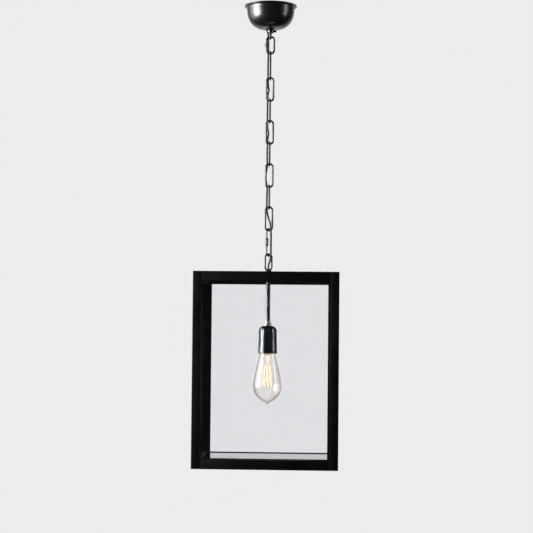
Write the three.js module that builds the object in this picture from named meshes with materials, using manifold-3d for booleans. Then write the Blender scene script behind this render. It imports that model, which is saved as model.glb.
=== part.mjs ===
// A chain-hung box lantern: ceiling cup, quick links, oval-link chain with a threaded cord,
// glazed bar frame and lamp.
// Millimetres, +Z up. The origin is on the ceiling, on the axis of the chain. The front faces -Y.
import * as THREE from 'three';
import { mergeVertices } from 'three/addons/utils/BufferGeometryUtils.js';
import Module from 'manifold-3d';

const wasm = await Module();
wasm.setup();

// ---- driving dimensions ----
const GAP = 0.3;                 // clearance between pieces that touch
const FRAME_W = 319;             // lantern body, left to right
const FRAME_D = 212;             // front to back
const FRAME_H = 430;             // height
const FRAME_TOP = -605;          // top of the body below the ceiling
const POST = 19;                 // side of the square posts, and depth of the rails
const RAIL_H = 21;               // height of the rails
const WALL = 1.5;                // wall of the square tube
const GLASS = 3;                 // pane thickness
const FACE_PANE_IN = 10;         // front and rear panes stand this far inside the posts' outer faces
const SIDE_PANE_IN = 1;          // and the side panes this far
const CUP_R = 53.5;              // ceiling cup, below its rolled rim
const CUP_DEPTH = 54;
const CUP_WALL = 1.2;
const ROD_R = 3.5;               // rod that carries the load through the cup
const COLLAR_R = 7.4;
const COLLAR_H = 8.4;
const HOOK = { wire: 4.5, ring: 5.75 };                      // ring at the foot of the rod
// Quick links: each has a gap in one leg, closed by a sleeve of the given length and width across its flats.
const UPPER = { length: 43.3, width: 21.5, wire: 4.5, gap: 3, sleeve: 8, flats: 7.6 };
const LOWER = { length: 65, width: 20, wire: 3.6, gap: 6, sleeve: 18, flats: 6.6 };
const LOWER_TURN = Math.PI / 3;  // the lower link hangs turned out of the chain's plane
const LINK = { length: 57.4, width: 19.7, wire: 4.2 };       // common chain link
const FIRST_LINK_LENGTH = 67.6;
const LINK_COUNT = 8;
const EYE = { length: 40, width: 18.8, wire: 4 };            // loop nut on the body
const STEM_R = 5;
const STEM_BORE = 3.5;
const HOLDER_TOP = -723;
const HOLDER_SEAM = -754;
const HOLDER_FOOT = -785;
const HOLDER_R = 20.5;
const BULB_R = 32;
const BULB_TIP = -898;
const BULB_WIDEST = -857;
const BULB_WALL = 0.8;
const CORD_R = 2;
const CORD_END_GAP = 1.8;        // between two lengths of cord, at the joint they cross

const FRAME_FOOT = FRAME_TOP - FRAME_H;
const INNER_X = FRAME_W / 2 - POST;
const INNER_Y = FRAME_D / 2 - POST;

// ---- materials ----
const finish = (color, roughness, metalness, extra = {}) =>
  new THREE.MeshStandardMaterial({ color, roughness, metalness, ...extra });
const matt = finish(0x0b0b0c, 0.5, 0.6);
const satin = finish(0x0a0a0b, 0.25, 0.8);
const steel = finish(0x55585c, 0.3, 1.0);
const brass = finish(0xb08d4a, 0.3, 1.0);
const ceramic = finish(0xe6e2d8, 0.4, 0.0);
const cable = finish(0x1c1c1e, 0.8, 0.0);
const clear = finish(0xe6ebf2, 0.05, 0.0, { transparent: true, opacity: 0.3 });
const amber = finish(0xffe3b8, 0.05, 0.0, { transparent: true, opacity: 0.35 });
const glow = finish(0xffb050, 0.4, 0.2);

// ---- shape helpers ----
const model = new THREE.Group();

function add(name, geometry, material, x = 0, y = 0, z = 0, turn = 0) {
  const mesh = new THREE.Mesh(geometry, material);
  mesh.name = name;
  mesh.position.set(x, y, z);
  mesh.rotation.z = turn;
  model.add(mesh);
  return mesh;
}

function solidOf(geometry) {
  const bare = new THREE.BufferGeometry();
  bare.setAttribute('position', geometry.getAttribute('position').clone());
  if (geometry.index) bare.setIndex(geometry.index.clone());
  const merged = mergeVertices(bare, 1e-4);
  return new wasm.Manifold(new wasm.Mesh({
    numProp: 3,
    vertProperties: new Float32Array(merged.getAttribute('position').array),
    triVerts: new Uint32Array(merged.index.array),
  }));
}

function geometryOf(solid) {
  const mesh = solid.getMesh();
  const geometry = new THREE.BufferGeometry();
  geometry.setAttribute('position', new THREE.BufferAttribute(mesh.vertProperties, 3));
  geometry.setIndex(new THREE.BufferAttribute(mesh.triVerts, 1));
  return geometry;
}

const cut = (a, ...others) => geometryOf(others.reduce((s, g) => s.subtract(solidOf(g)), solidOf(a)));
const join = (a, ...others) => geometryOf(others.reduce((s, g) => s.add(solidOf(g)), solidOf(a)));

// Turns a profile of [radius, height] points about the vertical axis, whichever way round it is given.
function lathe(profile, segments = 32) {
  const points = profile.map(([r, z]) => new THREE.Vector2(r, z));
  if (THREE.ShapeUtils.isClockWise(points)) points.reverse();
  return new THREE.LatheGeometry(points, segments).rotateX(Math.PI / 2);
}

// A tube or ring between two radii and two heights.
const ring = (inner, outer, low, high, segments = 32) =>
  lathe([[inner, low], [outer, low], [outer, high], [inner, high], [inner, low]], segments);

const disc = (radius, low, high, segments = 32) =>
  lathe([[0, low], [radius, low], [radius, high], [0, high]], segments);

function box(x0, x1, y0, y1, z0, z1) {
  const g = new THREE.BoxGeometry(x1 - x0, y1 - y0, z1 - z0);
  return g.translate((x0 + x1) / 2, (y0 + y1) / 2, (z0 + z1) / 2);
}

// An upright oval of round wire in the XZ plane, centred on the origin.
// It is a ring whose two halves are drawn apart.
function oval({ length, width, wire }, sides = 8, steps = 16) {
  const g = new THREE.TorusGeometry((width - wire) / 2, wire / 2, sides, steps);
  g.rotateZ(Math.PI / steps);
  g.rotateX(Math.PI / 2);
  const position = g.getAttribute('position');
  const half = (length - width) / 2;
  for (let i = 0; i < position.count; i += 1) {
    const z = position.getZ(i);
    position.setZ(i, z + Math.sign(z) * half);
  }
  return g;
}

function hexTube(flats, bore, length) {
  const shape = new THREE.Shape();
  for (let i = 0; i < 6; i += 1) {
    const a = (i + 0.5) * Math.PI / 3;
    const r = flats / Math.sqrt(3);
    shape[i ? 'lineTo' : 'moveTo'](r * Math.cos(a), r * Math.sin(a));
  }
  shape.closePath();
  shape.holes.push(new THREE.Path().absarc(0, 0, bore, 0, 2 * Math.PI, true));
  return new THREE.ExtrudeGeometry(shape, { depth: length, bevelEnabled: false, curveSegments: 8 })
    .translate(0, 0, -length / 2);
}

// A square tube, lying along Z, centred on the origin.
function squareTube(w, d, length) {
  const outline = (a, b) => [[-a, -b], [a, -b], [a, b], [-a, b]].map(([x, y]) => new THREE.Vector2(x, y));
  const shape = new THREE.Shape(outline(w / 2, d / 2));
  shape.holes.push(new THREE.Path(outline(w / 2 - WALL, d / 2 - WALL).reverse()));
  return new THREE.ExtrudeGeometry(shape, { depth: length, bevelEnabled: false })
    .translate(0, 0, -length / 2);
}

function cordLength(points, radius = CORD_R) {
  const section = new THREE.Shape().absarc(0, 0, radius, 0, 2 * Math.PI, false);
  const curve = new THREE.CatmullRomCurve3(points.map((p) => new THREE.Vector3(...p)), false, 'centripetal');
  const steps = Math.max(4, Math.round(curve.getLength() / (5 * radius)));
  return new THREE.ExtrudeGeometry(section,
    { steps, bevelEnabled: false, curveSegments: 4, extrudePath: curve });
}

// ---- ceiling: plate, screws, load rod, terminal block, cup and collar ----
const PLATE = { length: 86, width: 22, thick: 2.5, screwAt: 34 };

function ceilingPlate() {
  const half = PLATE.length / 2 - PLATE.width / 2;
  const r = PLATE.width / 2;
  const shape = new THREE.Shape();
  shape.moveTo(-half, -r);
  shape.lineTo(half, -r);
  shape.absarc(half, 0, r, -Math.PI / 2, Math.PI / 2, false);
  shape.lineTo(-half, r);
  shape.absarc(-half, 0, r, Math.PI / 2, 1.5 * Math.PI, false);
  for (const side of [-1, 1]) {
    shape.holes.push(new THREE.Path().absarc(side * PLATE.screwAt, 0, 2.3, 0, 2 * Math.PI, true));
  }
  return new THREE.ExtrudeGeometry(shape, { depth: PLATE.thick, bevelEnabled: false, curveSegments: 8 })
    .translate(0, 0, -PLATE.thick);
}
add('ceiling_plate', ceilingPlate(), steel);
const screwHead = -PLATE.thick - GAP;
for (const [i, side] of [-1, 1].entries()) {
  const screw = lathe([[0, screwHead - 2.6], [2.2, screwHead - 2.4], [4, screwHead - 1], [4, screwHead],
    [1.9, screwHead], [1.9, -GAP], [0, -GAP]], 16);
  add(`ceiling_screw_${i + 1}`, screw, steel, side * PLATE.screwAt);
}

const COLLAR_TOP = -CUP_DEPTH - GAP;
const COLLAR_FOOT = COLLAR_TOP - COLLAR_H;
const HOOK_Z = COLLAR_FOOT - 7.3;
const hookRing = new THREE.TorusGeometry(HOOK.ring, HOOK.wire / 2, 8, 20).rotateY(Math.PI / 2);
const loadRod = disc(ROD_R, HOOK_Z + HOOK.ring - 1, -PLATE.thick - GAP, 20);
add('load_hook', join(loadRod, hookRing.translate(0, 0, HOOK_Z)), satin);

// The cup: straight side, rounded foot, and a rolled rim against the ceiling.
const CORD_EXIT = { x: -8, y: 11 };
function canopy() {
  const outer = [];
  const inner = [];
  for (let i = 0; i <= 10; i += 1) {
    const a = i / 10 * Math.PI / 2;
    const p = 0.8;
    const x = Math.sin(a) ** p;
    const y = Math.cos(a) ** 0.9;
    outer.push([10 + (CUP_R - 10) * x, -8 - (CUP_DEPTH - 8) * y]);
    inner.push([10 + (CUP_R - CUP_WALL - 10) * x, -8 - (CUP_DEPTH - CUP_WALL - 8) * y]);
  }
  const bore = ROD_R + GAP;
  const profile = [[bore, -CUP_DEPTH], ...outer, [CUP_R + 1, -5], [CUP_R + 4.6, -4.2], [CUP_R + 5.8, -2.6],
    [CUP_R + 5, -1], [CUP_R + 2, -0.6], [CUP_R - CUP_WALL, -3], ...inner.reverse(),
    [bore, -CUP_DEPTH + CUP_WALL], [bore, -CUP_DEPTH]];
  const hole = disc(CORD_R + 0.8, -CUP_DEPTH - 6, -CUP_DEPTH + 10, 12).translate(CORD_EXIT.x, CORD_EXIT.y, 0);
  return cut(lathe(profile, 48), hole);
}
add('canopy', canopy(), satin);

const SCREW_Z = COLLAR_TOP - 4.6;
const alongX = (g) => g.rotateY(Math.PI / 2);
add('canopy_collar', cut(ring(ROD_R + GAP, COLLAR_R, COLLAR_FOOT, COLLAR_TOP, 24),
  alongX(disc(2, 0, COLLAR_R + 2, 12)).translate(0, 0, SCREW_Z)), satin);
const screwProfile = [[0, ROD_R + GAP], [1.6, ROD_R + GAP], [1.6, COLLAR_R + GAP],
  [2.6, COLLAR_R + GAP], [2.6, 12.6], [2, 13.2], [0, 13.2]];
add('collar_screw', alongX(lathe(screwProfile, 12)), satin, 0, 0, SCREW_Z);

function terminalBlock() {
  const holes = [-8, 0, 8].map((x) => box(x - 1.8, x + 1.8, -36, -12, -20, -16));
  return cut(box(-13, 13, -32, -16, -24, -12), ...holes);
}
add('terminal_block', terminalBlock(), ceramic);

// ---- quick links and chain ----
const legAt = (size) => -(size.width - size.wire) / 2;

function quickLink(size) {
  const leg = legAt(size);
  const half = size.gap / 2;
  return cut(oval(size), box(leg - size.wire, leg + size.wire, -size.wire, size.wire, -half, half));
}
const sleeve = (size) => hexTube(size.flats, size.wire / 2 + GAP, size.sleeve).translate(legAt(size), 0, 0);

const EDGE_ON = Math.PI / 2;
const pivots = [HOOK_Z - HOOK.ring];      // height of each joint, down the chain
let wireAbove = HOOK.wire;

// Hangs an oval piece in the one above it and returns the height of its centre.
function hang(size) {
  const top = pivots.at(-1) + (wireAbove + size.wire) / 2 + GAP;
  const span = size.length - size.wire;
  pivots.push(top - span);
  wireAbove = size.wire;
  return top - span / 2;
}

const upperZ = hang(UPPER);
add('upper_link', quickLink(UPPER), satin, 0, 0, upperZ);
add('upper_sleeve', sleeve(UPPER), steel, 0, 0, upperZ);
for (let i = 1; i <= LINK_COUNT; i += 1) {
  const size = { ...LINK, length: i === 1 ? FIRST_LINK_LENGTH : LINK.length };
  add(`chain_link_${i}`, oval(size), satin, 0, 0, hang(size), i % 2 ? EDGE_ON : 0);
}
const lowerZ = hang(LOWER);
add('lower_link', quickLink(LOWER), satin, 0, 0, lowerZ, LOWER_TURN);
add('lower_sleeve', sleeve(LOWER), steel, 0, 0, lowerZ, LOWER_TURN);

// ---- cord: one length for each piece it is threaded through ----
// Each stops short of the joint it crosses. First, where the cord passes each joint, [x, y].
// Then the bends it makes between two joints, [x, y, share of the way down].
const passes = [[-5, 6.2], [-5, 5.4], [-5, 5.4], [-5, -5.4], [-5, -5.4], [-5, 5.4], [-5, 5.4],
  [-5, 5.4], [-5, 5.4], [5.2, -5.4], [5.2, -5.4]];
const bends = [[[-4.8, 6.6, 0.5]], [[-5.4, 5.6, 0.5]], [[-4.2, 4.4, 0.3], [-2.4, 0, 0.5], [-4.2, -4.4, 0.68]],
  [[-5.2, -5.6, 0.5]], [[-4.2, -4.4, 0.3], [-2.4, 0, 0.5], [-4.2, 4.4, 0.68]], [[-5.6, 5.2, 0.5]],
  [[-8.4, 5.6, 0.5]], [[-5.4, 5.2, 0.5]], [[-3.2, 4.4, 0.25], [0, 0, 0.48], [3.2, -4.4, 0.68]],
  [[5.6, -6.4, 0.5]]];
const cupFloor = -CUP_DEPTH;
add('cord_1', cordLength([[CORD_EXIT.x, CORD_EXIT.y, cupFloor + 22], [CORD_EXIT.x, CORD_EXIT.y, cupFloor - 2],
  [-5.6, 8.4, cupFloor - 12], [...passes[0], pivots[0] + CORD_END_GAP / 2]]), cable);
for (let i = 0; i < bends.length; i += 1) {
  const high = pivots[i] - CORD_END_GAP / 2;
  const low = pivots[i + 1] + CORD_END_GAP / 2;
  const middle = bends[i].map(([x, y, t]) => [x, y, high + (low - high) * t]);
  add(`cord_${i + 2}`, cordLength([[...passes[i], high], ...middle, [...passes[i + 1], low]]), cable);
}

// ---- top of the body: loop nut, cross bar, stem and its nuts ----
const eyeTop = pivots.at(-1) + (wireAbove + EYE.wire) / 2 + GAP;
const eyeZ = eyeTop - (EYE.length - EYE.wire) / 2;
const BAR_TOP = FRAME_TOP - 1;
const BAR_THICK = 6;
const nutBase = disc(8, BAR_TOP + GAP, BAR_TOP + GAP + 7, 24);
const nutBore = disc(3, BAR_TOP - 2, BAR_TOP + 16, 16);
add('loop_nut', cut(join(oval(EYE).translate(0, 0, eyeZ), nutBase), nutBore), satin);
add(`cord_${bends.length + 2}`, cordLength([[...passes.at(-1), pivots.at(-1) - CORD_END_GAP / 2],
  [3.2, -3.4, pivots.at(-1) - 11], [0.4, -0.4, pivots.at(-1) - 20], [0, 0, BAR_TOP + 2]]), cable);
add('cross_bar', cut(box(-11, 11, -INNER_Y + GAP, INNER_Y - GAP, BAR_TOP - BAR_THICK, BAR_TOP),
  disc(STEM_R + GAP, BAR_TOP - BAR_THICK - 1, BAR_TOP + 1, 24)), matt);
const underBar = BAR_TOP - BAR_THICK - GAP;
const stemTube = ring(STEM_BORE, STEM_R, HOLDER_TOP - 3, BAR_TOP, 24);
add('stem', join(stemTube, ring(STEM_R - 0.5, 8, underBar - 4, underBar, 24)), satin);
add('stem_collar', lathe([[STEM_R + GAP, HOLDER_TOP + GAP], [9, HOLDER_TOP + GAP], [9, HOLDER_TOP + 3.4],
  [7.4, HOLDER_TOP + 5], [7, HOLDER_TOP + 10.6], [STEM_R + GAP, HOLDER_TOP + 10.6],
  [STEM_R + GAP, HOLDER_TOP + GAP]], 24), steel);

// ---- body frame: four posts, and rails between them ----
for (const [front, y] of [['front', -1], ['rear', 1]]) {
  for (const [side, x] of [['left', -1], ['right', 1]]) {
    add(`${front}_${side}_post`, squareTube(POST, POST, FRAME_H), matt,
      x * (FRAME_W - POST) / 2, y * (FRAME_D - POST) / 2, FRAME_TOP - FRAME_H / 2);
  }
}
const railZ = { top: FRAME_TOP - RAIL_H / 2, bottom: FRAME_FOOT + RAIL_H / 2 };
for (const [level, z] of Object.entries(railZ)) {
  for (const [front, y] of [['front', -1], ['rear', 1]]) {
    const rail = squareTube(RAIL_H, POST, 2 * (INNER_X - GAP)).rotateY(Math.PI / 2);
    add(`${level}_${front}_rail`, rail, matt, 0, y * (FRAME_D - POST) / 2, z);
  }
  for (const [side, x] of [['left', -1], ['right', 1]]) {
    const rail = squareTube(POST, RAIL_H, 2 * (INNER_Y - GAP)).rotateX(Math.PI / 2);
    add(`${level}_${side}_rail`, rail, matt, x * (FRAME_W - POST) / 2, 0, z);
  }
}

// ---- glass: a pane in each of the four openings, and a floor pane ----
const PANE_Y = FRAME_D / 2 - FACE_PANE_IN;
const paneTop = FRAME_TOP - RAIL_H - GAP;
const paneFoot = FRAME_FOOT + RAIL_H + GAP;
const paneX = INNER_X - GAP;
const paneY = INNER_Y - GAP;
add('front_glass', box(-paneX, paneX, -PANE_Y, -PANE_Y + GLASS, paneFoot, paneTop), clear);
add('rear_glass', box(-paneX, paneX, PANE_Y - GLASS, PANE_Y, paneFoot, paneTop), clear);
const FLOOR_TOP = FRAME_FOOT + RAIL_H + 0.5;
for (const [side, x] of [['left', -1], ['right', 1]]) {
  const near = x * (FRAME_W / 2 - SIDE_PANE_IN);
  const far = x * (FRAME_W / 2 - SIDE_PANE_IN - GLASS);
  const pane = box(Math.min(near, far), Math.max(near, far), -paneY, paneY, paneFoot, paneTop);
  add(`${side}_glass`, pane, clear);
}
add('floor_glass', box(-paneX, paneX, -paneY, paneY, FLOOR_TOP - GLASS, FLOOR_TOP), clear);

// ---- lamp holder ----
function holderCap() {
  const wall = 1.5;
  const dome = (r, top) => {
    const points = [];
    for (let i = 0; i <= 6; i += 1) {
      const a = i / 6 * Math.PI / 2;
      points.push([r - 12 + 12 * Math.sin(a), top - 12 + 12 * Math.cos(a)]);
    }
    return points;
  };
  const bore = STEM_R + GAP;
  const outer = dome(HOLDER_R, HOLDER_TOP);
  const inner = dome(HOLDER_R - wall, HOLDER_TOP - wall).reverse();
  const foot = HOLDER_SEAM + GAP;
  return lathe([[bore, HOLDER_TOP], ...outer, [HOLDER_R, foot], [HOLDER_R - wall, foot], ...inner,
    [bore, HOLDER_TOP - wall], [bore, HOLDER_TOP]], 40);
}
add('holder_cap', holderCap(), satin);
add('holder_skirt', lathe([[HOLDER_R - 1.3, HOLDER_SEAM], [HOLDER_R + 0.2, HOLDER_SEAM],
  [HOLDER_R + 1, HOLDER_FOOT + 1], [HOLDER_R + 0.6, HOLDER_FOOT], [HOLDER_R - 0.4, HOLDER_FOOT],
  [HOLDER_R - 1.3, HOLDER_FOOT + 4], [HOLDER_R - 1.3, HOLDER_SEAM]], 40), satin);
const SHELL_R = 13.4;
add('socket_insert', join(disc(17, -748, -733, 32), ring(SHELL_R, SHELL_R + 0.7, -776, -747, 32)), ceramic);

// ---- bulb: screw base, envelope, glass stem and filament ----
const BASE_FOOT = -777;
add('bulb_base', lathe([[0, -749], [3, -749], [4.5, -751], [9, -752.5], [SHELL_R - 0.5, -754],
  [SHELL_R - 0.5, BASE_FOOT], [0, BASE_FOOT]], 32), brass);

// Half-outline of the bulb, as a smooth curve through its neck, widest circle and pointed tip.
function envelope(offset) {
  const outline = new THREE.CatmullRomCurve3([[12.6, BASE_FOOT - GAP], [16.6, -781.5], [18.6, -790],
    [24, -813], [29, -835], [BULB_R, BULB_WIDEST], [30.4, -868], [24, -880], [14.5, -888.5],
    [5.5, -893.5], [2.2, -896]]
    .map(([r, z]) => new THREE.Vector3(r - offset, z + (z < BULB_WIDEST ? offset : 0), 0)));
  return outline.getPoints(22).map((p) => [p.x, p.y]);
}
const skin = envelope(0);
const lining = envelope(BULB_WALL).reverse().filter(([r]) => r > 0.9);
add('bulb_glass', lathe([...lining, ...skin, [0, BULB_TIP], [0, BULB_TIP + 2.4], lining[0]], 36), amber);
add('bulb_stem', lathe([[0, -850], [1.6, -849], [1.6, -812], [3.2, -806], [5.2, -796], [7.4, -786],
  [8.6, -778.6], [0, -778.6]], 16), clear);

function filament() {
  const points = [];
  const legs = 8;
  for (let i = 0; i <= legs; i += 1) {
    const a = i / legs * 1.8 * Math.PI;
    const low = i % 2;
    const r = low ? 11 : 7;
    points.push([r * Math.cos(a), r * Math.sin(a), low ? -860 : -812]);
  }
  const smooth = new THREE.CatmullRomCurve3(points.map((p) => new THREE.Vector3(...p)), false, 'centripetal');
  const section = new THREE.Shape().absarc(0, 0, 0.4, 0, 2 * Math.PI, false);
  return new THREE.ExtrudeGeometry(section,
    { steps: 48, bevelEnabled: false, curveSegments: 2, extrudePath: smooth });
}
add('filament', filament(), glow);

export default model;
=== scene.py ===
# Visual model of the chain-hung box lantern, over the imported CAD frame. +Z up, front towards -Y.
# Lengths are written in millimetres and turned into metres where a mesh is made.
import math

import bmesh
import bpy
from mathutils import Matrix, Vector


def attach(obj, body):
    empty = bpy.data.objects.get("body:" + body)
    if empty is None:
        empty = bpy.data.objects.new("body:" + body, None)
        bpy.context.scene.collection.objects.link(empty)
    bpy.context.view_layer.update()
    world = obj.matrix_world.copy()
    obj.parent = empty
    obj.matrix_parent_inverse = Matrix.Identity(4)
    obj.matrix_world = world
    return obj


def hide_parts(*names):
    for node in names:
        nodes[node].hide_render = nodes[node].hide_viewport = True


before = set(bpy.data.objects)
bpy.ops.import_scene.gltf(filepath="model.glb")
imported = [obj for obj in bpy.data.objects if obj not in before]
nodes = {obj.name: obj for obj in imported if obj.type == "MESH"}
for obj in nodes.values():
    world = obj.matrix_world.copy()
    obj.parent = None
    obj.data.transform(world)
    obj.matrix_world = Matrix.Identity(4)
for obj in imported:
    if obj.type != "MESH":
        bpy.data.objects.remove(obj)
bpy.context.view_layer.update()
MM = 0.001

# ---- camera, at the photograph's viewing angle ----
CAMERA_AZIMUTH = math.radians(2.75)
CAMERA_DISTANCE = 3.406
CAMERA_HEIGHT = -0.7347
CAMERA_PITCH = math.radians(2.43)
CAMERA_ROLL = math.radians(0.54)
CAMERA_ASIDE = -0.0043
FOCAL_PX = 1520
PICTURE_PX = 533
SENSOR_MM = 36

camera_data = bpy.data.cameras.new("camera")
camera_data.sensor_width = SENSOR_MM
camera_data.lens = FOCAL_PX / PICTURE_PX * SENSOR_MM
camera_data.clip_end = 50
camera = bpy.data.objects.new("camera", camera_data)
bpy.context.scene.collection.objects.link(camera)
bpy.context.scene.camera = camera
right = Vector((math.cos(CAMERA_AZIMUTH), math.sin(CAMERA_AZIMUTH), 0))
stand = Vector((math.sin(CAMERA_AZIMUTH), -math.cos(CAMERA_AZIMUTH), 0)) * CAMERA_DISTANCE
stand += right * CAMERA_ASIDE
stand.z = CAMERA_HEIGHT
camera.matrix_world = (
    Matrix.Translation(stand)
    @ Matrix.Rotation(CAMERA_AZIMUTH, 4, "Z")
    @ Matrix.Rotation(math.pi / 2 + CAMERA_PITCH, 4, "X")
    @ Matrix.Rotation(CAMERA_ROLL, 4, "Z")
)


# ---- materials: all are procedural, in object coordinates, which are metres in the shared frame ----
def new_material(name):
    m = bpy.data.materials.new(name)
    m.use_nodes = True
    tree = m.node_tree
    return m, tree.nodes, tree.links, tree.nodes["Principled BSDF"]


def noise(nodes_, links, scale, detail=3.0, stretch=(1, 1, 1)):
    place = nodes_.new("ShaderNodeTexCoord")
    mapping = nodes_.new("ShaderNodeMapping")
    mapping.inputs["Scale"].default_value = stretch
    n = nodes_.new("ShaderNodeTexNoise")
    n.inputs["Scale"].default_value = scale
    n.inputs["Detail"].default_value = detail
    links.new(place.outputs["Object"], mapping.inputs["Vector"])
    links.new(mapping.outputs["Vector"], n.inputs["Vector"])
    return n.outputs["Fac"]


def spread(nodes_, links, value, low, high):
    r = nodes_.new("ShaderNodeMapRange")
    r.inputs["From Min"].default_value = 0.3
    r.inputs["From Max"].default_value = 0.7
    r.inputs["To Min"].default_value = low
    r.inputs["To Max"].default_value = high
    links.new(value, r.inputs["Value"])
    return r.outputs["Result"]


def tint(nodes_, links, value, first, second):
    r = nodes_.new("ShaderNodeValToRGB")
    r.color_ramp.elements[0].position = 0.3
    r.color_ramp.elements[0].color = (*first, 1)
    r.color_ramp.elements[1].position = 0.7
    r.color_ramp.elements[1].color = (*second, 1)
    links.new(value, r.inputs["Fac"])
    return r.outputs["Color"]


def bump(nodes_, links, value, strength, distance, shader):
    b = nodes_.new("ShaderNodeBump")
    b.inputs["Strength"].default_value = strength
    b.inputs["Distance"].default_value = distance
    links.new(value, b.inputs["Height"])
    links.new(b.outputs["Normal"], shader.inputs["Normal"])


PATCH_SCALE = 18.0


# A metal or coating: two tones, uneven gloss and a fine grain.
def surface(name, dark, light, rough, metallic, grain, depth, specular=0.5, stretch=(1, 1, 1)):
    m, n, l, p = new_material(name)
    wide = noise(n, l, PATCH_SCALE, 4.0, stretch)
    fine = noise(n, l, grain, 2.0, stretch)
    l.new(tint(n, l, wide, dark, light), p.inputs["Base Color"])
    l.new(spread(n, l, wide, *rough), p.inputs["Roughness"])
    bump(n, l, fine, 0.35, depth, p)
    p.inputs["Metallic"].default_value = metallic
    p.inputs["Specular IOR Level"].default_value = specular
    return m


matt_black = surface("matt_black", (0.0012, 0.0012, 0.0014), (0.0026, 0.0026, 0.0029),
                     (0.46, 0.6), 0.0, 1400, 0.00004, 0.07)
satin_black = surface("satin_black", (0.002, 0.002, 0.0023), (0.004, 0.004, 0.0045),
                      (0.26, 0.34), 0.0, 900, 0.000012, 0.7)
gunmetal = surface("gunmetal", (0.070, 0.076, 0.082), (0.095, 0.102, 0.108),
                   (0.2, 0.28), 1.0, 1200, 0.00001, stretch=(1, 1, 6))
dark_steel = surface("dark_steel", (0.20, 0.205, 0.21), (0.32, 0.325, 0.33),
                     (0.26, 0.38), 1.0, 1500, 0.00001, stretch=(1, 1, 8))
zinc = surface("zinc", (0.42, 0.42, 0.43), (0.58, 0.58, 0.59),
               (0.28, 0.42), 0.9, 1500, 0.00001, stretch=(1, 1, 8))
brass = surface("brass", (0.52, 0.36, 0.15), (0.72, 0.53, 0.25), (0.22, 0.36), 1.0, 1300, 0.00001)
ceramic = surface("ceramic", (0.68, 0.64, 0.57), (0.78, 0.75, 0.69),
                  (0.22, 0.34), 0.0, 600, 0.00002)
rubber = surface("rubber", (0.008, 0.008, 0.008), (0.016, 0.016, 0.016),
                 (0.6, 0.75), 0.0, 1500, 0.00003, 0.4)


# Clear glass with faint smears, and a tint that deepens where it is seen edge on.
def glass(name, middle, edge, smear, blend=0.35, start=0.15, ior=1.5):
    m, n, l, p = new_material(name)
    facing = n.new("ShaderNodeLayerWeight")
    facing.inputs["Blend"].default_value = blend
    mix = n.new("ShaderNodeValToRGB")
    mix.color_ramp.elements[0].position = start
    mix.color_ramp.elements[0].color = (*middle, 1)
    mix.color_ramp.elements[1].position = 0.9
    mix.color_ramp.elements[1].color = (*edge, 1)
    l.new(facing.outputs["Facing"], mix.inputs["Fac"])
    l.new(mix.outputs["Color"], p.inputs["Base Color"])
    l.new(spread(n, l, noise(n, l, 9.0, 5.0), 0.0, smear), p.inputs["Roughness"])
    bump(n, l, noise(n, l, 6.0, 1.0), 0.05, 0.00002, p)
    p.inputs["Transmission Weight"].default_value = 1.0
    p.inputs["IOR"].default_value = ior
    return m


pane_glass = glass("pane_glass", (0.982, 0.983, 0.998), (0.94, 0.96, 0.985), 0.02, ior=1.36)
bulb_glass = glass("bulb_glass", (0.99, 0.985, 0.97), (0.80, 0.46, 0.20), 0.01, 0.4, 0.3)
stem_glass_painted_glow = glass("stem_glass_painted_glow", (1.0, 0.95, 0.84), (1.0, 0.84, 0.6), 0.12)
# The stem glass is made to glow faintly amber. This is a painted glow for the lit filament's light in
# the glass; the stem itself is no lamp.
stem_shader = stem_glass_painted_glow.node_tree.nodes["Principled BSDF"]
stem_shader.inputs["Emission Color"].default_value = (1.0, 0.84, 0.58, 1)
stem_shader.inputs["Emission Strength"].default_value = 0.2


def glowing():
    m, n, l, p = new_material("filament_glow")
    uneven = noise(n, l, 160, 2.0)
    l.new(tint(n, l, uneven, (1.0, 0.62, 0.24), (1.0, 0.78, 0.42)), p.inputs["Emission Color"])
    l.new(tint(n, l, uneven, (0.9, 0.6, 0.3), (1.0, 0.75, 0.45)), p.inputs["Base Color"])
    p.inputs["Emission Strength"].default_value = 1.6
    p.inputs["Roughness"].default_value = 0.5
    return m


filament_glow = glowing()


STRANDS = 5
WEAVE_PITCH = 0.0028


# Braided sleeve: two sets of strands that wind opposite ways.
# U goes round the cord and V runs along it in metres.
def braid():
    m, n, l, p = new_material("cord_braid")
    uv = n.new("ShaderNodeUVMap")
    uv.uv_map = "around_along"
    parts = n.new("ShaderNodeSeparateXYZ")
    l.new(uv.outputs["UV"], parts.inputs["Vector"])

    def math_node(kind, a, b):
        k = n.new("ShaderNodeMath")
        k.operation = kind
        for i, v in enumerate((a, b)):
            if isinstance(v, (int, float)):
                k.inputs[i].default_value = v
            else:
                l.new(v, k.inputs[i])
        return k.outputs["Value"]

    round_ = math_node("MULTIPLY", parts.outputs["X"], 2 * math.pi * STRANDS)
    along = math_node("MULTIPLY", parts.outputs["Y"], 2 * math.pi / WEAVE_PITCH)
    one = math_node("SINE", math_node("ADD", round_, along), 0)
    two = math_node("SINE", math_node("SUBTRACT", round_, along), 0)
    weave = math_node("MULTIPLY", one, two)
    raised = math_node("MULTIPLY_ADD", weave, 0.5)
    # The colour follows the weave's height, so the grooves between strands are painted darker as shade.
    l.new(tint(n, l, raised, (0.006, 0.006, 0.007), (0.028, 0.028, 0.031)), p.inputs["Base Color"])
    l.new(spread(n, l, noise(n, l, 300), 0.7, 0.9), p.inputs["Roughness"])
    bump(n, l, raised, 0.6, 0.0003, p)
    p.inputs["Sheen Weight"].default_value = 0.15
    return m


cord_braid = braid()


# ---- mesh helpers ----
SHARP = math.radians(38)


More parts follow.
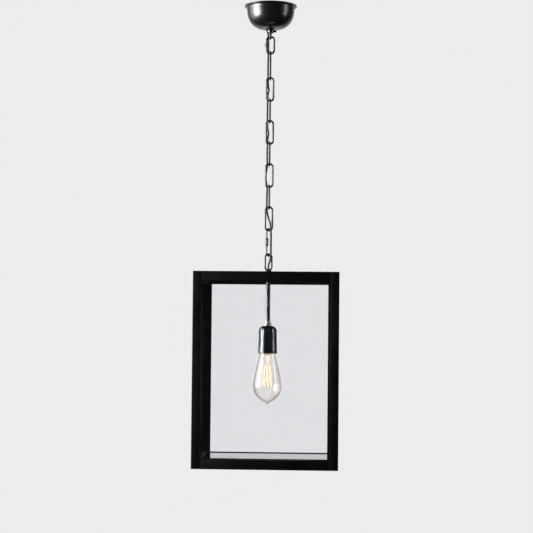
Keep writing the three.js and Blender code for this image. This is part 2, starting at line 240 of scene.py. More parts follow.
# parts is a list of (vertices in mm, faces, material); one object is made of them all.
def piece(name, parts, body, slot, *stands_for, turn=0.0, at=(0, 0, 0), bevel=0.0):
    mesh = bpy.data.meshes.new(name)
    verts = []
    faces = []
    marks = []
    for index, (v, f, m) in enumerate(parts):
        base = len(verts)
        verts += [tuple(c * MM for c in p) for p in v]
        faces += [tuple(base + i for i in g) for g in f]
        marks += [index] * len(f)
        mesh.materials.append(m)
    mesh.from_pydata(verts, [], faces)
    mesh.polygons.foreach_set("material_index", marks)
    mesh.transform(Matrix.Translation([c * MM for c in at]) @ Matrix.Rotation(turn, 4, "Z"))
    smooth_by_angle(mesh, bevel)
    o = bpy.data.objects.new(name, mesh)
    bpy.context.scene.collection.objects.link(o)
    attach(o, body)
    if stands_for:
        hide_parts(*stands_for)
    return o


def smooth_by_angle(mesh, bevel=0.0):
    b = bmesh.new()
    b.from_mesh(mesh)
    bmesh.ops.recalc_face_normals(b, faces=b.faces)
    if bevel:
        edges = [e for e in b.edges if e.calc_face_angle(0) > SHARP]
        bmesh.ops.bevel(b, geom=edges, offset=bevel * MM, segments=3, profile=0.5, affect="EDGES")
    for f in b.faces:
        f.smooth = True
    for e in b.edges:
        e.smooth = e.calc_face_angle(0) < SHARP
    b.to_mesh(mesh)
    b.free()


# Turns a closed profile of (radius, height) about the vertical axis.
def lathe(profile, material, segments=96):
    verts = []
    faces = []
    rows = []
    for r, z in profile:
        if r < 1e-6:
            rows.append([len(verts)])
            verts.append((0, 0, z))
            continue
        rows.append(list(range(len(verts), len(verts) + segments)))
        verts += [(r * math.cos(2 * math.pi * k / segments),
                   r * math.sin(2 * math.pi * k / segments), z) for k in range(segments)]
    pairs = list(zip(rows, rows[1:]))
    if len(rows[0]) > 1 and len(rows[-1]) > 1:
        pairs.append((rows[-1], rows[0]))
    for a, b in pairs:
        if len(a) == 1 and len(b) == 1:
            continue
        for k in range(segments):
            n = (k + 1) % segments
            if len(a) == 1:
                faces.append((a[0], b[n], b[k]))
            elif len(b) == 1:
                faces.append((a[k], a[n], b[0]))
            else:
                faces.append((a[k], a[n], b[n], b[k]))
    return verts, faces, material


# Sweeps a round section along points. radius is a number or one per point. Open ends are rounded.
def sweep(points, radius, material, sides=20, closed=False, rounded=True):
    pts = [Vector(p) for p in points]
    rad = list(radius) if hasattr(radius, "__len__") else [radius] * len(pts)
    if not closed and rounded:
        head = (pts[0] - pts[1]).normalized()
        tail = (pts[-1] - pts[-2]).normalized()
        start = []
        finish = []
        for a in (80, 55, 28):
            t = math.radians(a)
            start.append((pts[0] + head * rad[0] * math.sin(t), rad[0] * math.cos(t)))
            finish.insert(0, (pts[-1] + tail * rad[-1] * math.sin(t), rad[-1] * math.cos(t)))
        pts = [p for p, _ in start] + pts + [p for p, _ in finish]
        rad = [r for _, r in start] + rad + [r for _, r in finish]
    n = len(pts)
    tangents = []
    for i in range(n):
        before = pts[(i - 1) % n] if closed or i else pts[i]
        after = pts[(i + 1) % n] if closed or i < n - 1 else pts[i]
        tangents.append((after - before).normalized())
    side = tangents[0].orthogonal().normalized()
    if abs(tangents[0].y) < 0.9:
        side = (Vector((0, 1, 0)) - tangents[0] * tangents[0].y).normalized()
    verts = []
    faces = []
    for i in range(n):
        side = (side - tangents[i] * side.dot(tangents[i])).normalized()
        other = tangents[i].cross(side)
        for k in range(sides):
            a = 2 * math.pi * k / sides
            verts.append(tuple(pts[i] + (side * math.cos(a) + other * math.sin(a)) * rad[i]))
    for i in range(n if closed else n - 1):
        j = (i + 1) % n
        for k in range(sides):
            m = (k + 1) % sides
            faces.append((i * sides + k, i * sides + m, j * sides + m, j * sides + k))
    if not closed:
        faces.append(tuple(range(sides)))
        faces.append(tuple((n - 1) * sides + k for k in reversed(range(sides))))
    return verts, faces, material


# The centre line of an upright oval in the XZ plane: from the middle of its left leg, over the top.
def oval_line(length, width, wire, legs=14, turns=28):
    r = (width - wire) / 2
    half = (length - width) / 2
    line = []
    line += [(-r, 0, half * i / legs) for i in range(legs)]
    bend = [math.pi * i / turns for i in range(turns)]
    line += [(-r * math.cos(a), 0, half + r * math.sin(a)) for a in bend]
    line += [(r, 0, half - 2 * half * i / (2 * legs)) for i in range(2 * legs)]
    line += [(r * math.cos(a), 0, -half - r * math.sin(a)) for a in bend]
    line += [(-r, 0, -half + half * i / legs) for i in range(legs)]
    return line


def moved(part, x=0, y=0, z=0):
    v, f, m = part
    return [(a + x, b + y, c + z) for a, b, c in v], f, m


def turned(part, angle, axis="Z"):
    v, f, m = part
    r = Matrix.Rotation(angle, 3, axis)
    return [tuple(r @ Vector(p)) for p in v], f, m


# A bored hexagon with its corners chamfered at both ends.
def hex_nut(flats, bore, low, high, material, around=72):
    corner = flats / math.sqrt(3)
    cut = min(1.1, (high - low) / 4)
    verts = []
    faces = []
    rows = []
    levels = [(low, corner * 0.87), (low + cut * 0.5, corner * 0.935), (low + cut, corner),
              (high - cut, corner), (high - cut * 0.5, corner * 0.935), (high, corner * 0.87)]
    for z, limit in levels:
        rows.append(range(len(verts), len(verts) + around))
        for k in range(around):
            a = 2 * math.pi * k / around
            sector = (a % (math.pi / 3)) - math.pi / 6
            r = min(flats / 2 / math.cos(sector), limit)
            verts.append((r * math.cos(a), r * math.sin(a), z))
    for z in (high, low):
        rows.append(range(len(verts), len(verts) + around))
        verts += [(bore * math.cos(2 * math.pi * k / around),
                   bore * math.sin(2 * math.pi * k / around), z) for k in range(around)]
    for a, b in zip(rows, rows[1:] + rows[:1]):
        for k in range(around):
            n = (k + 1) % around
            faces.append((a[k], a[n], b[n], b[k]))
    return verts, faces, material


def block(x0, x1, y0, y1, z0, z1, material):
    verts = [(x, y, z) for x in (x0, x1) for y in (y0, y1) for z in (z0, z1)]
    faces = [(0, 1, 3, 2), (4, 6, 7, 5), (0, 4, 5, 1), (2, 3, 7, 6), (0, 2, 6, 4), (1, 5, 7, 3)]
    return verts, faces, material


# A centripetal curve through points, and the index on it of each point.
def line_through(points, spacing=2.4):
    p = [Vector(q) for q in points]
    p = [2 * p[0] - p[1]] + p + [2 * p[-1] - p[-2]]
    out = []
    at = []
    for i in range(1, len(p) - 2):
        q = p[i - 1:i + 3]
        t = [0.0]
        for a, b in zip(q, q[1:]):
            t.append(t[-1] + max((b - a).length, 1e-6) ** 0.5)
        steps = max(2, round((q[2] - q[1]).length / spacing))
        at.append(len(out))
        for s in range(steps):
            u = t[1] + (t[2] - t[1]) * s / steps
            a1 = q[0] * ((t[1] - u) / (t[1] - t[0])) + q[1] * ((u - t[0]) / (t[1] - t[0]))
            a2 = q[1] * ((t[2] - u) / (t[2] - t[1])) + q[2] * ((u - t[1]) / (t[2] - t[1]))
            a3 = q[2] * ((t[3] - u) / (t[3] - t[2])) + q[3] * ((u - t[2]) / (t[3] - t[2]))
            b1 = a1 * ((t[2] - u) / (t[2] - t[0])) + a2 * ((u - t[0]) / (t[2] - t[0]))
            b2 = a2 * ((t[3] - u) / (t[3] - t[1])) + a3 * ((u - t[1]) / (t[3] - t[1]))
            out.append(b1 * ((t[2] - u) / (t[2] - t[1])) + b2 * ((u - t[1]) / (t[2] - t[1])))
    at.append(len(out))
    out.append(p[-2])
    return out, at


# ---- the chain's joints, worked out from the links' sizes as in the CAD ----
GAP = 0.3
CUP_DEPTH = 54
COLLAR_TOP = -CUP_DEPTH - GAP
COLLAR_FOOT = COLLAR_TOP - 8.4
HOOK_Z = COLLAR_FOOT - 7.3
HOOK_RING = 5.75
HOOK_WIRE = 4.5
UPPER = {"length": 43.3, "width": 21.5, "wire": 4.5}
LOWER = {"length": 65, "width": 20, "wire": 3.6}
LINK = {"length": 57.4, "width": 19.7, "wire": 4.2}
FIRST_LINK_LENGTH = 67.6
LINK_COUNT = 8
EYE = {"length": 40, "width": 18.8, "wire": 4}
pivots = [HOOK_Z - HOOK_RING]
centres = []
wire_above = HOOK_WIRE
hung = [UPPER] + [{**LINK, "length": FIRST_LINK_LENGTH}] + [LINK] * (LINK_COUNT - 1) + [LOWER]
for size in hung:
    top = pivots[-1] + (wire_above + size["wire"]) / 2 + GAP
    span = size["length"] - size["wire"]
    centres.append(top - span / 2)
    pivots.append(top - span)
    wire_above = size["wire"]
link_bodies = ["upper_chain"] * 3 + ["middle_link"] + ["lower_chain"] * 4
chain_bodies = ["ceiling", "top_quick_link"] + link_bodies + ["bottom_quick_link", "lantern"]

# ---- cord: one smooth line from the cup to the stem, cut at each joint it crosses ----
BAR_TOP = -606
CORD_EXIT = (-8, 11)
cord_passes = [(-5, 6.2), (-5, 5.4), (-5, 5.4), (-5, -5.4), (-5, -5.4), (-5, 5.4), (-5, 5.4),
               (-5, 5.4), (-5, 5.4), (5.2, -5.4), (5.2, -5.4)]
# The bends between two joints: x, y, and the share of the way down.
cord_bends = [[(-4.8, 6.6, 0.5)], [(-5.4, 5.6, 0.5)],
              [(-4.2, 4.4, 0.3), (-2.4, 0, 0.5), (-4.2, -4.4, 0.68)], [(-5.2, -5.6, 0.5)],
              [(-4.2, -4.4, 0.3), (-2.4, 0, 0.5), (-4.2, 4.4, 0.68)], [(-5.6, 5.2, 0.5)],
              [(-8.4, 5.6, 0.5)], [(-5.4, 5.2, 0.5)],
              [(-3.2, 4.4, 0.25), (0, 0, 0.48), (3.2, -4.4, 0.68)], [(5.6, -6.4, 0.5)]]
cord_points = [(*CORD_EXIT, -CUP_DEPTH + 22), (*CORD_EXIT, -CUP_DEPTH - 2),
               (-5.6, 8.4, -CUP_DEPTH - 12)]
cord_cuts = []
for i, (x, y) in enumerate(cord_passes):
    cord_cuts.append(len(cord_points))
    cord_points.append((x, y, pivots[i]))
    if i < len(cord_bends):
        for bx, by, share in cord_bends[i]:
            cord_points.append((bx, by, pivots[i] + (pivots[i + 1] - pivots[i]) * share))
cord_points += [(3.2, -3.4, pivots[-1] - 11), (0.4, -0.4, pivots[-1] - 20), (0, 0, BAR_TOP + 2)]
CORD_R = 2.0
cord_line, cord_at = line_through(cord_points)
cord_ends = [0] + [cord_at[c] for c in cord_cuts] + [len(cord_line) - 1]
CORD_SIDES = 20
run_before = 0.0
for i, body in enumerate(chain_bodies):
    part = cord_line[cord_ends[i]:cord_ends[i + 1] + 1]
    o = piece(f"cord_length_{i + 1}", [sweep(part, CORD_R, cord_braid, CORD_SIDES)], body, "cord",
              f"cord_{i + 1}")
    layer = o.data.uv_layers.new(name="around_along")
    along = [0.0]
    for r in range(1, len(o.data.vertices) // CORD_SIDES):
        a = o.data.vertices[r * CORD_SIDES].co
        along.append(along[-1] + (a - o.data.vertices[(r - 1) * CORD_SIDES].co).length)
    for poly in o.data.polygons:
        ids = [o.data.loops[k].vertex_index for k in poly.loop_indices]
        sides_met = {v % CORD_SIDES for v in ids}
        wraps = {0, CORD_SIDES - 1} <= sides_met
        for k, v in zip(poly.loop_indices, ids):
            side_share = v % CORD_SIDES / CORD_SIDES
            if wraps and side_share == 0:
                side_share = 1.0
            layer.data[k].uv = (side_share, run_before + along[v // CORD_SIDES])
    run_before += sum((b - a).length for a, b in zip(part, part[1:])) * MM

# ---- ceiling cup, collar, side screw and load hook ----
CUP_R = 53.5
CUP_WALL = 1.2
ROD_R = 3.5
CUP_FLAT_R = 10
CUP_BEND = 8
bore = ROD_R + GAP


def cup_side(radius, depth, steps=28):
    side = []
    for i in range(steps + 1):
        a = i / steps * math.pi / 2
        out = math.sin(a) ** 0.8
        down = max(math.cos(a), 0) ** 0.9
        side.append((CUP_FLAT_R + (radius - CUP_FLAT_R) * out, -CUP_BEND - (depth - CUP_BEND) * down))
    return side


rim = [(CUP_R + 1, -5.4), (CUP_R + 3, -5.0), (CUP_R + 4.7, -4.1), (CUP_R + 5.5, -3.1),
       (CUP_R + 5.6, -2.2), (CUP_R + 5, -1.2), (CUP_R + 3.6, -0.7), (CUP_R + 2, -0.6),
       (CUP_R - 0.4, -1.6), (CUP_R - CUP_WALL, -3)]
cup_inside = cup_side(CUP_R - CUP_WALL, CUP_DEPTH - CUP_WALL)[::-1]
cup_profile = ([(bore, -CUP_DEPTH)] + cup_side(CUP_R, CUP_DEPTH) + rim + cup_inside
               + [(bore, -CUP_DEPTH + CUP_WALL)])
cup = piece("ceiling_cup", [lathe(cup_profile, satin_black, 144)], "ceiling", "satin_black", "canopy")
hole = bpy.data.meshes.new("cord_hole")
CORD_HOLE_R = 2.8
hole_profile = [(0, -CUP_DEPTH - 6), (CORD_HOLE_R, -CUP_DEPTH - 6), (CORD_HOLE_R, -CUP_DEPTH + 12),
                (0, -CUP_DEPTH + 12)]
hole_v, hole_f, _ = moved(lathe(hole_profile, satin_black, 32), *CORD_EXIT)
hole.from_pydata([tuple(c * MM for c in p) for p in hole_v], [], hole_f)
hole_object = bpy.data.objects.new("cord_hole", hole)
bpy.context.scene.collection.objects.link(hole_object)
cutter = cup.modifiers.new("cord_hole", "BOOLEAN")
cutter.object = hole_object
cutter.operation = "DIFFERENCE"
depsgraph = bpy.context.evaluated_depsgraph_get()
cut_mesh = bpy.data.meshes.new_from_object(cup.evaluated_get(depsgraph))
cup.modifiers.remove(cutter)
cup.data = cut_mesh
bpy.data.objects.remove(hole_object)
smooth_by_angle(cup.data)

grommet = [(2.1, -CUP_DEPTH - 0.9), (3.9, -CUP_DEPTH - 0.9), (4.3, -CUP_DEPTH - 0.4),
           (4.3, -CUP_DEPTH + 0.5), (CORD_HOLE_R, -CUP_DEPTH + 0.5), (CORD_HOLE_R, -CUP_DEPTH + 2),
           (4, -CUP_DEPTH + 2), (3.8, -CUP_DEPTH + 2.8), (2.1, -CUP_DEPTH + 2.8)]
piece("cord_grommet", [moved(lathe(grommet, rubber, 40), *CORD_EXIT)], "ceiling", "cord")
collar = [(bore, COLLAR_FOOT), (6.4, COLLAR_FOOT), (7.1, COLLAR_FOOT + 0.5), (7.4, COLLAR_FOOT + 1.2),
          (7.4, COLLAR_TOP - 1.2), (7.1, COLLAR_TOP - 0.4), (6.6, COLLAR_TOP), (bore, COLLAR_TOP)]
piece("cup_collar", [lathe(collar, satin_black, 64)], "ceiling", "satin_black", "canopy_collar")
SCREW_Z = COLLAR_TOP - 4.6
knob = [(0, ROD_R + GAP), (1.6, ROD_R + GAP), (1.6, 7.7), (2.3, 7.7), (2.6, 8.2), (2.6, 12.2),
        (2.3, 12.8), (1.7, 13.1), (0.4, 13.2), (0.3, 12.6), (0, 12.6)]
knob_part = turned(lathe(knob, satin_black, 40), math.pi / 2, "Y")
piece("side_screw", [moved(knob_part, 0, 0, SCREW_Z)], "side_screw", "satin_black", "collar_screw")
RING_STEPS = 56
ring_turn = [2 * math.pi * i / RING_STEPS for i in range(RING_STEPS)]
hook_ring = [(0, HOOK_RING * math.sin(a), HOOK_Z + HOOK_RING * math.cos(a)) for a in ring_turn]
rod = [(0, -2.8), (ROD_R - 0.4, -2.8), (ROD_R, -3.2), (ROD_R, HOOK_Z + HOOK_RING + 2),
       (3.2, HOOK_Z + HOOK_RING - 0.6), (0, HOOK_Z + HOOK_RING - 1)]
hook_part = sweep(hook_ring, HOOK_WIRE / 2, satin_black, 24, closed=True)
piece("ceiling_hook", [hook_part, lathe(rod, satin_black, 40)], "ceiling", "satin_black", "load_hook")


# ---- quick links, their sleeves and the chain ----
THREAD_PITCH = 0.8
SLEEVE_CLEARANCE = 0.12


# The wire of a quick link, with a cut thread on the leg that its sleeve closes.
def quick_link(size, gap, threaded):
    line = oval_line(**size, legs=60)
    body_line = [p for p in line if not (p[0] < 0 and abs(p[2]) < gap / 2)]
    first = next(i for i, p in enumerate(body_line) if p[0] < 0 and p[2] > 0)
    body_line = body_line[first:] + body_line[:first]
    half = size["wire"] / 2
    leg = (size["width"] - size["wire"]) / 2
    radii = []
    for p in body_line:
        near = p[0] < 0 and abs(p[2]) < threaded and abs(p[0] + leg) < 0.01
        ridge = math.sin(p[2] * 2 * math.pi / THREAD_PITCH)
        radii.append(half * 0.93 + half * 0.06 * ridge if near else half)
    return sweep(body_line, radii, satin_black, 22)


def link_sleeve(size, flats, length):
    leg = -(size["width"] - size["wire"]) / 2
    nut = hex_nut(flats, size["wire"] / 2 + SLEEVE_CLEARANCE, -length / 2, length / 2, dark_steel)
    return moved(nut, leg)


LOWER_TURN = math.pi / 3
WELD_SWELL = 0.07
for which, place, size, turn, z, gap, threaded, flats, length in (
        ("upper", "top", UPPER, 0.0, centres[0], 3, 4, 7.6, 8),
        ("lower", "bottom", LOWER, LOWER_TURN, centres[-1], 6, 9, 6.6, 18)):
    piece(f"{which}_quick_link", [quick_link(size, gap, threaded)], f"{place}_quick_link", "satin_black",
          f"{which}_link", turn=turn, at=(0, 0, z))
    piece(f"{which}_link_sleeve", [link_sleeve(size, flats, length)], f"{place}_sleeve", "dark_steel",
          f"{which}_sleeve", turn=turn, at=(0, 0, z))
for i in range(1, LINK_COUNT + 1):
    size = hung[i]
    line = oval_line(**size)
    # The weld is a slight swelling half way down one leg.
    swell = [size["wire"] / 2 * (1 + (WELD_SWELL * math.exp(-(p[2] / 1.8) ** 2) if p[0] < 0 else 0))
             for p in line]
    piece(f"oval_link_{i}", [sweep(line, swell, satin_black, 22, closed=True)], link_bodies[i - 1],
          "satin_black", f"chain_link_{i}", turn=math.pi / 2 if i % 2 else 0.0, at=(0, 0, centres[i]))

# ---- eye on the body, and the stem ----
eye_top = pivots[-1] + (LOWER["wire"] + EYE["wire"]) / 2 + GAP
eye_z = eye_top - (EYE["length"] - EYE["wire"]) / 2
nut_foot = BAR_TOP + GAP
nut_top = BAR_TOP + GAP + 7
nut = [(3.1, nut_foot), (7.4, nut_foot), (8, nut_foot + 0.6), (8, nut_top - 2), (7, nut_top - 0.8),
       (5, nut_top), (3.1, nut_top)]
eye_line = [(x, y, z + eye_z) for x, y, z in oval_line(**EYE) if z + eye_z > nut_top - 2]
low_left = min((i for i, p in enumerate(eye_line) if p[0] < 0), key=lambda i: eye_line[i][2])
eye_line = eye_line[low_left:] + eye_line[:low_left]
eye_part = sweep(eye_line, EYE["wire"] / 2, satin_black, 22)
piece("eye_nut", [eye_part, lathe(nut, satin_black, 56)], "lantern", "satin_black", "loop_nut")

HOLDER_TOP = -723
HOLDER_SEAM = -754
HOLDER_FOOT = -785
HOLDER_R = 20.5
STEM_R = 5
under_bar = BAR_TOP - 6 - GAP
stem = [(3.5, HOLDER_TOP - 3), (4.6, HOLDER_TOP - 3), (STEM_R, HOLDER_TOP - 2.6),
        (STEM_R, BAR_TOP - 0.4), (4.6, BAR_TOP), (3.5, BAR_TOP)]
stem_nut = hex_nut(13.6, STEM_R, under_bar - 4, under_bar, gunmetal)
piece("lamp_stem", [lathe(stem, gunmetal, 56), stem_nut], "lantern", "satin_black", "stem")
collar_low = HOLDER_TOP + GAP
stem_ring = [(STEM_R + 0.1, collar_low), (8.6, collar_low), (9, collar_low + 0.4), (9, collar_low + 2.6),
             (8.5, collar_low + 3.6), (7.5, collar_low + 4.6), (7.1, collar_low + 5.6),
             (7, collar_low + 9.6), (6.6, collar_low + 10.3), (STEM_R + 0.1, collar_low + 10.3)]
piece("stem_ring", [lathe(stem_ring, zinc, 56)], "lantern", "dark_steel", "stem_collar")


# ---- lamp holder ----
def dome(radius, top, rounding=12, steps=18):
    turn = [i / steps * math.pi / 2 for i in range(steps + 1)]
    return [(radius - rounding + rounding * math.sin(a), top - rounding + rounding * math.cos(a))
            for a in turn]


cap_bore = STEM_R + 0.15
cap_foot = HOLDER_SEAM + 0.12
CAP_WALL = 1.5
cap_lip = [(HOLDER_R, cap_foot + 1.6), (HOLDER_R + 0.35, cap_foot + 1.2),
           (HOLDER_R + 0.35, cap_foot + 0.3), (HOLDER_R, cap_foot), (HOLDER_R - CAP_WALL, cap_foot)]
cap_inside = dome(HOLDER_R - CAP_WALL, HOLDER_TOP - CAP_WALL)[::-1]
cap = ([(cap_bore, HOLDER_TOP), (7, HOLDER_TOP)] + dome(HOLDER_R, HOLDER_TOP) + cap_lip + cap_inside
       + [(cap_bore, HOLDER_TOP - CAP_WALL)])
piece("holder_dome", [lathe(cap, gunmetal)], "lantern", "satin_black", "holder_cap")
skirt = [(HOLDER_R - 1.3, HOLDER_SEAM), (HOLDER_R - 0.3, HOLDER_SEAM),
         (HOLDER_R + 0.1, HOLDER_SEAM - 0.4), (HOLDER_R + 0.4, HOLDER_SEAM - 10),
         (HOLDER_R + 0.9, HOLDER_FOOT + 2), (HOLDER_R + 1, HOLDER_FOOT + 1),
         (HOLDER_R + 0.8, HOLDER_FOOT + 0.3), (HOLDER_R + 0.2, HOLDER_FOOT),
         (HOLDER_R - 0.6, HOLDER_FOOT + 0.3),
         (HOLDER_R - 1.2, HOLDER_FOOT + 3), (HOLDER_R - 1.3, HOLDER_FOOT + 8)]
piece("holder_lower", [lathe(skirt, gunmetal)], "lantern", "satin_black", "holder_skirt")
SHELL_R = 13.4
shell = [(SHELL_R, -775.6)] + [(SHELL_R + 0.55 + 0.12 * math.sin(i * math.pi / 2), -775.6 + i * 0.9)
                                for i in range(31)] + [(SHELL_R, -748.6)]
insulator = [(0, -748), (16, -748), (17, -747), (17, -734), (16, -733), (0, -733)]
piece("holder_insert", [lathe(insulator, ceramic, 56), lathe(shell, brass, 56)], "lantern", "ceramic",
      "socket_insert")

# ---- bulb ----
BASE_FOOT = -777
thread = [(SHELL_R - 0.75 + 0.22 * math.sin(i * math.pi / 4), -754.4 - i * 0.45) for i in range(50)]
base = [(0, -749), (2.6, -749), (3.4, -749.5), (4.5, -751), (9, -752.5), (12, -753.6)] + thread + [
    (SHELL_R - 0.6, BASE_FOOT), (0, BASE_FOOT)]
piece("bulb_cap", [lathe(base, brass, 56)], "bulb", "brass", "bulb_base")
BULB_WIDEST = -857
BULB_WALL = 0.8
outline = [(12.6, BASE_FOOT - GAP), (16.6, -781.5), (18.6, -790), (24, -813), (29, -835),
           (32, BULB_WIDEST), (30.4, -868), (24, -880), (14.5, -888.5), (5.5, -893.5), (2.2, -896)]


def envelope(offset):
    inset = [(r - offset, 0, z + (offset if z < BULB_WIDEST else 0)) for r, z in outline]
    line, _ = line_through(inset, 1.6)
    return [(p.x, p.z) for p in line]


lining = [p for p in envelope(BULB_WALL)[::-1] if p[0] > 1.2]
tip = [(1.5, -897.3), (0.7, -897.9), (0, -898), (0, -895.2)]
piece("bulb_envelope", [lathe(lining + envelope(0) + tip, bulb_glass, 112)], "bulb", "bulb_glass",
      "bulb_glass")
press = [(0, -850), (1.1, -849.8), (1.6, -849), (1.5, -812), (3.2, -806), (5.2, -796), (7.4, -786),
         (8.6, -778.6), (0, -778.6)]
piece("bulb_press", [lathe(press, stem_glass_painted_glow, 40)], "bulb", "pane", "bulb_stem")
hooks = []
FILAMENT_LEGS = 8
FILAMENT_SWEEP = 1.8 * math.pi
HIGH_HOOK = (7, -812)
LOW_HOOK = (11, -860)
for i in range(FILAMENT_LEGS + 1):
    a = i / FILAMENT_LEGS * FILAMENT_SWEEP
    r, z = LOW_HOOK if i % 2 else HIGH_HOOK
    hooks.append((r * math.cos(a), r * math.sin(a), z))
filament_line, _ = line_through(hooks, 1.5)
piece("filament_wire", [sweep(filament_line, 0.42, filament_glow, 10)], "bulb", "filament", "filament")
supports = []
for i, (x, y, z) in enumerate(hooks):
    foot = -846 if i % 2 else -818
    arm = [(x * 0.12, y * 0.12, foot), (x * 0.6, y * 0.6, (foot + z) / 2), (x, y, z)]
    supports.append(sweep(arm, 0.18, dark_steel, 8))
piece("filament_supports", supports, "bulb", "dark_steel")

# ---- body frame: square bars with softened edges ----
FRAME_W = 319
FRAME_D = 212
FRAME_TOP = -605
FRAME_FOOT = FRAME_TOP - 430
POST = 19
RAIL_H = 21
INNER_X = FRAME_W / 2 - POST
INNER_Y = FRAME_D / 2 - POST
POST_EDGE = 0.9
RAIL_EDGE = 0.6
BEAD_EDGE = 0.4
FACES = (("front", -1), ("rear", 1))
SIDES = (("left", -1), ("right", 1))


def frame_bar(name, node, edge, *extent):
    piece(name, [block(*extent, matt_black)], "lantern", "matt_black", node, bevel=edge)


for front, sy in FACES:
    for side, sx in SIDES:
        x = sx * (FRAME_W - POST) / 2
        y = sy * (FRAME_D - POST) / 2
        frame_bar(f"{front}_{side}_bar", f"{front}_{side}_post", POST_EDGE,
                  x - POST / 2, x + POST / 2, y - POST / 2, y + POST / 2, FRAME_FOOT, FRAME_TOP)
for level, low in (("top", FRAME_TOP - RAIL_H), ("bottom", FRAME_FOOT)):
    for front, sy in FACES:
        y = sy * (FRAME_D - POST) / 2
        frame_bar(f"{level}_{front}_bar", f"{level}_{front}_rail", RAIL_EDGE,
                  -INNER_X, INNER_X, y - POST / 2, y + POST / 2, low, low + RAIL_H)
    for side, sx in SIDES:
        x = sx * (FRAME_W - POST) / 2
        frame_bar(f"{level}_{side}_bar", f"{level}_{side}_rail", RAIL_EDGE,
                  x - POST / 2, x + POST / 2, -INNER_Y, INNER_Y, low, low + RAIL_H)


# A thin bead all round behind a front or rear pane.
def bead(y0, y1, wide=2.0, side=2.0):
    top = FRAME_TOP - RAIL_H
    foot = FRAME_FOOT + RAIL_H
    return [block(-INNER_X, INNER_X, y0, y1, top - wide, top, matt_black),
            block(-INNER_X, INNER_X, y0, y1, foot, foot + wide, matt_black),
            block(-INNER_X, -INNER_X + side, y0, y1, foot + wide, top - wide, matt_black),
            block(INNER_X - side, INNER_X, y0, y1, foot + wide, top - wide, matt_black)]


BEAD_IN = 89.9
BEAD_OUT = 92.9
REAR_BEAD_SIDE = 6.5
piece("front_bead", bead(-BEAD_OUT, -BEAD_IN), "lantern", "matt_black", bevel=BEAD_EDGE)
piece("rear_bead", bead(BEAD_IN, BEAD_OUT, side=REAR_BEAD_SIDE), "lantern", "matt_black",
      bevel=BEAD_EDGE)
PANE_THICK = 3
FLOOR_UNDER = FRAME_FOOT + RAIL_H + 0.5 - PANE_THICK
TAB = 16
TAB_EDGE = 0.3
for side, sx in SIDES:
    for front, sy in FACES:
        corner = [(sx * INNER_X, sy * INNER_Y), (sx * (INNER_X - TAB), sy * INNER_Y),
                  (sx * INNER_X, sy * (INNER_Y - TAB))]
        verts = [(x, y, z) for z in (FLOOR_UNDER - 1.6, FLOOR_UNDER - 0.1) for x, y in corner]
        faces = [(0, 1, 2), (3, 5, 4), (0, 3, 4, 1), (1, 4, 5, 2), (2, 5, 3, 0)]
        piece(f"floor_tab_{front}_{side}", [(verts, faces, matt_black)], "lantern", "matt_black",
              bevel=TAB_EDGE)


# ---- CAD nodes that are shown as they are, with softened edges and their own materials ----
def dress(name, material, width):
    o = nodes[name]
    o.data.materials.clear()
    o.data.materials.append(material)
    b = o.modifiers.new("edges", "BEVEL")
    b.width = width * MM
    b.segments = 2
    b.limit_method = "ANGLE"
    b.angle_limit = SHARP


for name in ("front_glass", "rear_glass", "left_glass", "right_glass", "floor_glass"):
    dress(name, pane_glass, 0.35)
dress("cross_bar", matt_black, 0.6)
dress("ceiling_plate", dark_steel, 0.3)
dress("ceiling_screw_1", dark_steel, 0.2)
dress("ceiling_screw_2", dark_steel, 0.2)
dress("terminal_block", ceramic, 0.5)

# ---- floor, light and background ----
floor_mesh = bpy.data.meshes.new("floor")
FLOOR_HALF = 8.0
FLOOR_Z = -2.4
floor_corners = [(x * FLOOR_HALF, y * FLOOR_HALF, FLOOR_Z)
                 for x, y in ((-1, -1), (1, -1), (1, 1), (-1, 1))]
floor_mesh.from_pydata(floor_corners, [], [(0, 1, 2, 3)])
floor = bpy.data.objects.new("floor", floor_mesh)
bpy.context.scene.collection.objects.link(floor)
floor_mesh.materials.append(surface("floor_paint", (0.80, 0.80, 0.80), (0.84, 0.84, 0.84),
                                    (0.6, 0.7), 0.0, 60, 0.0002))
floor.visible_glossy = False


AIM_HEIGHT = -0.5


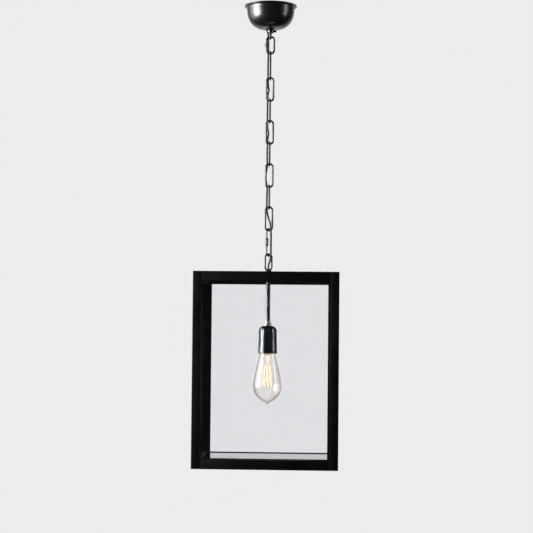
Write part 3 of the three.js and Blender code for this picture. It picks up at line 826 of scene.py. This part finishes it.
def softbox(name, azimuth, distance, height, width, tall, power):
    data = bpy.data.lights.new(name, "AREA")
    data.shape = "RECTANGLE"
    data.size = width
    data.size_y = tall
    data.energy = power
    lamp = bpy.data.objects.new(name, data)
    a = math.radians(azimuth)
    lamp.location = (math.sin(a) * distance, -math.cos(a) * distance, height)
    to = Vector((0, 0, AIM_HEIGHT)) - lamp.location
    lamp.rotation_euler = to.to_track_quat("-Z", "Y").to_euler()
    bpy.context.scene.collection.objects.link(lamp)
    lamp.visible_camera = False


softbox("window_left", -70, 2.3, -0.3, 1.4, 1.5, 150)
softbox("window_left_spill", -86, 2.4, -0.2, 2.8, 2.2, 60)
softbox("strip_right", 80, 2.3, -0.1, 0.45, 1.6, 14)
softbox("top", 10, 2.6, 1.9, 1.6, 1.6, 8)

world = bpy.data.worlds.new("studio")
bpy.context.scene.world = world
world.use_nodes = True
wn = world.node_tree.nodes
wl = world.node_tree.links
background = wn["Background"]
path = wn.new("ShaderNodeLightPath")


def world_math(kind, *values):
    k = wn.new("ShaderNodeMath")
    k.operation = kind
    for i, v in enumerate(values):
        if isinstance(v, (int, float)):
            k.inputs[i].default_value = v
        else:
            wl.new(v, k.inputs[i])
    return k.outputs["Value"]


# White to the camera, directly or through clear glass.
# To everything else it is a white backdrop in a dark studio.
bounces = world_math("ADD", path.outputs["Glossy Depth"], path.outputs["Diffuse Depth"])
straight = world_math("LESS_THAN", bounces, 0.5)
clear = world_math("MULTIPLY", path.outputs["Is Transmission Ray"], straight)
seen = world_math("MAXIMUM", path.outputs["Is Camera Ray"], clear)
direction = wn.new("ShaderNodeTexCoord")
parts = wn.new("ShaderNodeSeparateXYZ")
wl.new(direction.outputs["Generated"], parts.inputs["Vector"])
backdrop = wn.new("ShaderNodeMapRange")
backdrop.interpolation_type = "SMOOTHSTEP"
backdrop.inputs["From Min"].default_value = 0.6
backdrop.inputs["From Max"].default_value = 0.9
wl.new(parts.outputs["Y"], backdrop.inputs["Value"])
level = wn.new("ShaderNodeMapRange")
DARK_STUDIO = 0.03
WHITE_BACKDROP = 0.84
level.inputs["To Min"].default_value = DARK_STUDIO
level.inputs["To Max"].default_value = WHITE_BACKDROP
wl.new(world_math("MAXIMUM", seen, backdrop.outputs["Result"]), level.inputs["Value"])
wl.new(level.outputs["Result"], background.inputs["Strength"])
background.inputs["Color"].default_value = (1, 1, 1, 1)
bpy.context.scene.view_settings.view_transform = "Standard"
bpy.context.scene.view_settings.look = "None"
